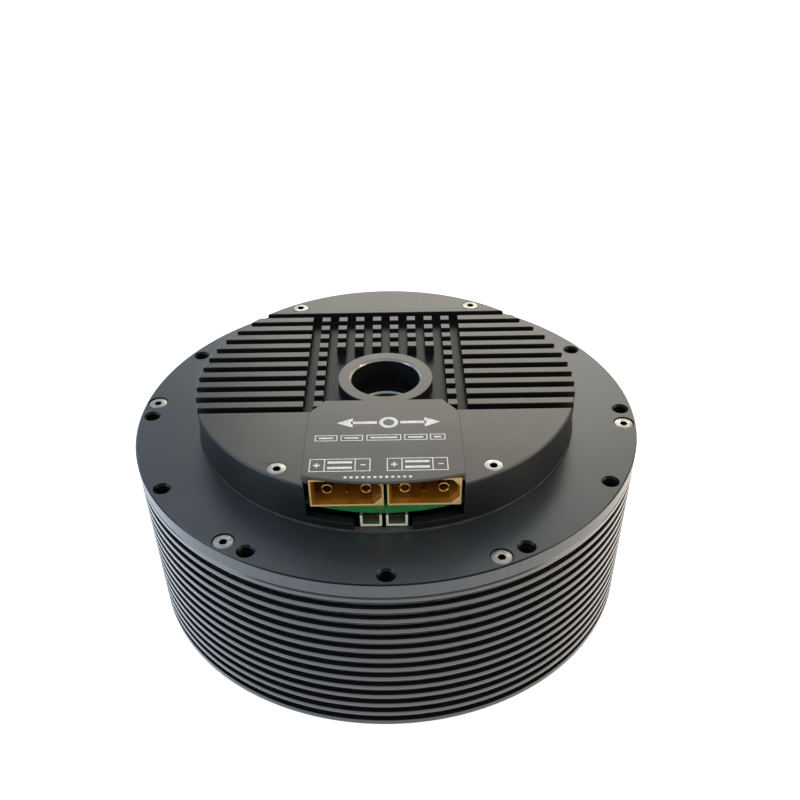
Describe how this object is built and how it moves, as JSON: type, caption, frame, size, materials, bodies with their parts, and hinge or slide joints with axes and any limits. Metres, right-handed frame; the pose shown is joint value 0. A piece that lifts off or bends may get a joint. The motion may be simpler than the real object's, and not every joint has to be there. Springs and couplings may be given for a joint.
{
  "type": "robot joint actuator",
  "caption": "Hollow rotary joint actuator: round finned housing, slotted driver cover with power sockets, and a geared output flange that turns about the cable bore.",
  "frame": {"origin": "centre of the housing's underside, on the output axis, in the plane that the housing stands on", "axes": "+Z along the output axis from the output flange to the driver cover, -Y towards the connectors, +X to the right when looking at the connectors"},
  "size_m": [0.194, 0.194, 0.0904],
  "materials": {
    "amber_plastic": "moulded nylon",
    "bearing_steel": "polished bearing steel",
    "black_anodised_aluminium": "satin black anodised, fine bead-blasted",
    "black_chip": "moulded epoxy",
    "black_lid": "satin black anodised, smoother",
    "black_rubber": "matte",
    "black_screw": "black oxide steel",
    "bright_steel_screw": "nickel-plated steel",
    "bronze_bush": "sintered bronze",
    "capacitor_can": "drawn can",
    "copper_winding": "enamelled copper wire",
    "electrical_steel": "stacked laminations, blued edges",
    "encoder_ferrite": "bonded ferrite",
    "gear_steel": "ground alloy steel",
    "gold_contact": "gold-plated brass",
    "green_circuit_board": "solder resist over glass fibre",
    "grey_gasket": "silicone",
    "ivory_plastic": "moulded nylon",
    "magnet_plating": "nickel-plated magnets",
    "turned_aluminium": "turned, clear anodised",
    "turned_steel": "turned steel"
  },
  "bodies": {
    "housing": {"bearing_clamp_ring": "black_anodised_aluminium", "bearing_outer_ring": "bearing_steel", "board_chips": "black_chip", "board_posts": "turned_aluminium", "bus_capacitors": "capacitor_can", "clamp_screws": "black_screw", "connector_lid": "black_lid", "cover_gasket": "grey_gasket", "cover_screws": "bright_steel_screw", "crossed_rollers": "bearing_steel", "driver_board": "green_circuit_board", "driver_cover": "black_anodised_aluminium", "encoder_board": "green_circuit_board", "finned_housing": "black_anodised_aluminium", "hollow_shaft_bush": "bronze_bush", "lower_rotor_bearing_outer_ring": "bearing_steel", "motor_end_shield": "turned_aluminium", "output_seal": "black_rubber", "plate_screws": "bright_steel_screw", "plate_seal": "black_rubber", "power_connector_left": "amber_plastic", "power_connector_right": "amber_plastic", "power_contacts": "gold_contact", "rear_plate": "black_anodised_aluminium", "ring_gear": "gear_steel", "signal_contacts": "gold_contact", "signal_sockets": "ivory_plastic", "stator_coils": "copper_winding", "stator_core": "electrical_steel", "upper_rotor_bearing_outer_ring": "bearing_steel"},
    "output": {"bearing_inner_ring": "bearing_steel", "foot_screws": "black_screw", "hollow_shaft": "turned_steel", "low_carrier_plate": "turned_steel", "low_planet_pins": "bearing_steel", "output_flange": "turned_steel"},
    "carrier": {"high_carrier": "turned_steel", "high_pin_washers": "bronze_bush", "high_planet_pins": "bearing_steel", "low_sun_gear": "gear_steel"},
    "rotor": {"encoder_magnet_ring": "encoder_ferrite", "high_sun_gear": "gear_steel", "lower_rotor_bearing_inner_ring": "bearing_steel", "rotor_hub": "turned_aluminium", "rotor_iron": "electrical_steel", "rotor_magnets": "magnet_plating", "upper_rotor_bearing_inner_ring": "bearing_steel"},
    "low_planet_1": {"low_planet_1": "gear_steel", "low_planet_bush_1": "bronze_bush"},
    "high_planet_1": {"high_planet_1": "gear_steel", "high_planet_bush_1": "bronze_bush"},
    "low_planet_2": {"low_planet_2": "gear_steel", "low_planet_bush_2": "bronze_bush"},
    "high_planet_2": {"high_planet_2": "gear_steel", "high_planet_bush_2": "bronze_bush"},
    "low_planet_3": {"low_planet_3": "gear_steel", "low_planet_bush_3": "bronze_bush"},
    "high_planet_3": {"high_planet_3": "gear_steel", "high_planet_bush_3": "bronze_bush"}
  },
  "joints": [
    {"name": "output_spin", "type": "hinge", "parent": "housing", "child": "output", "pos_m": [0, 0, 0], "axis": [0, 0, 1], "continuous": true},
    {"name": "carrier_spin", "type": "hinge", "parent": "housing", "child": "carrier", "pos_m": [0, 0, 0.036], "axis": [0, 0, 1], "continuous": true},
    {"name": "rotor_spin", "type": "hinge", "parent": "housing", "child": "rotor", "pos_m": [0, 0, 0.057], "axis": [0, 0, 1], "continuous": true},
    {"name": "low_planet_1_spin", "type": "hinge", "parent": "output", "child": "low_planet_1", "pos_m": [0, 0.045, 0.024], "axis": [0, 0, 1], "continuous": true},
    {"name": "low_planet_2_spin", "type": "hinge", "parent": "output", "child": "low_planet_2", "pos_m": [-0.03897, -0.0225, 0.024], "axis": [0, 0, 1], "continuous": true},
    {"name": "low_planet_3_spin", "type": "hinge", "parent": "output", "child": "low_planet_3", "pos_m": [0.03897, -0.0225, 0.024], "axis": [0, 0, 1], "continuous": true},
    {"name": "high_planet_1_spin", "type": "hinge", "parent": "carrier", "child": "high_planet_1", "pos_m": [0, 0.045, 0.0435], "axis": [0, 0, 1], "continuous": true},
    {"name": "high_planet_2_spin", "type": "hinge", "parent": "carrier", "child": "high_planet_2", "pos_m": [-0.03897, -0.0225, 0.0435], "axis": [0, 0, 1], "continuous": true},
    {"name": "high_planet_3_spin", "type": "hinge", "parent": "carrier", "child": "high_planet_3", "pos_m": [0.03897, -0.0225, 0.0435], "axis": [0, 0, 1], "continuous": true}
  ],
  "couplings": [
    {"joint": "carrier_spin", "follows": "output_spin", "ratio": 4.5},
    {"joint": "rotor_spin", "follows": "output_spin", "ratio": 20.25},
    {"joint": "low_planet_1_spin", "follows": "output_spin", "ratio": -2.8},
    {"joint": "low_planet_2_spin", "follows": "output_spin", "ratio": -2.8},
    {"joint": "low_planet_3_spin", "follows": "output_spin", "ratio": -2.8},
    {"joint": "high_planet_1_spin", "follows": "output_spin", "ratio": -12.6},
    {"joint": "high_planet_2_spin", "follows": "output_spin", "ratio": -12.6},
    {"joint": "high_planet_3_spin", "follows": "output_spin", "ratio": -12.6}
  ]
}
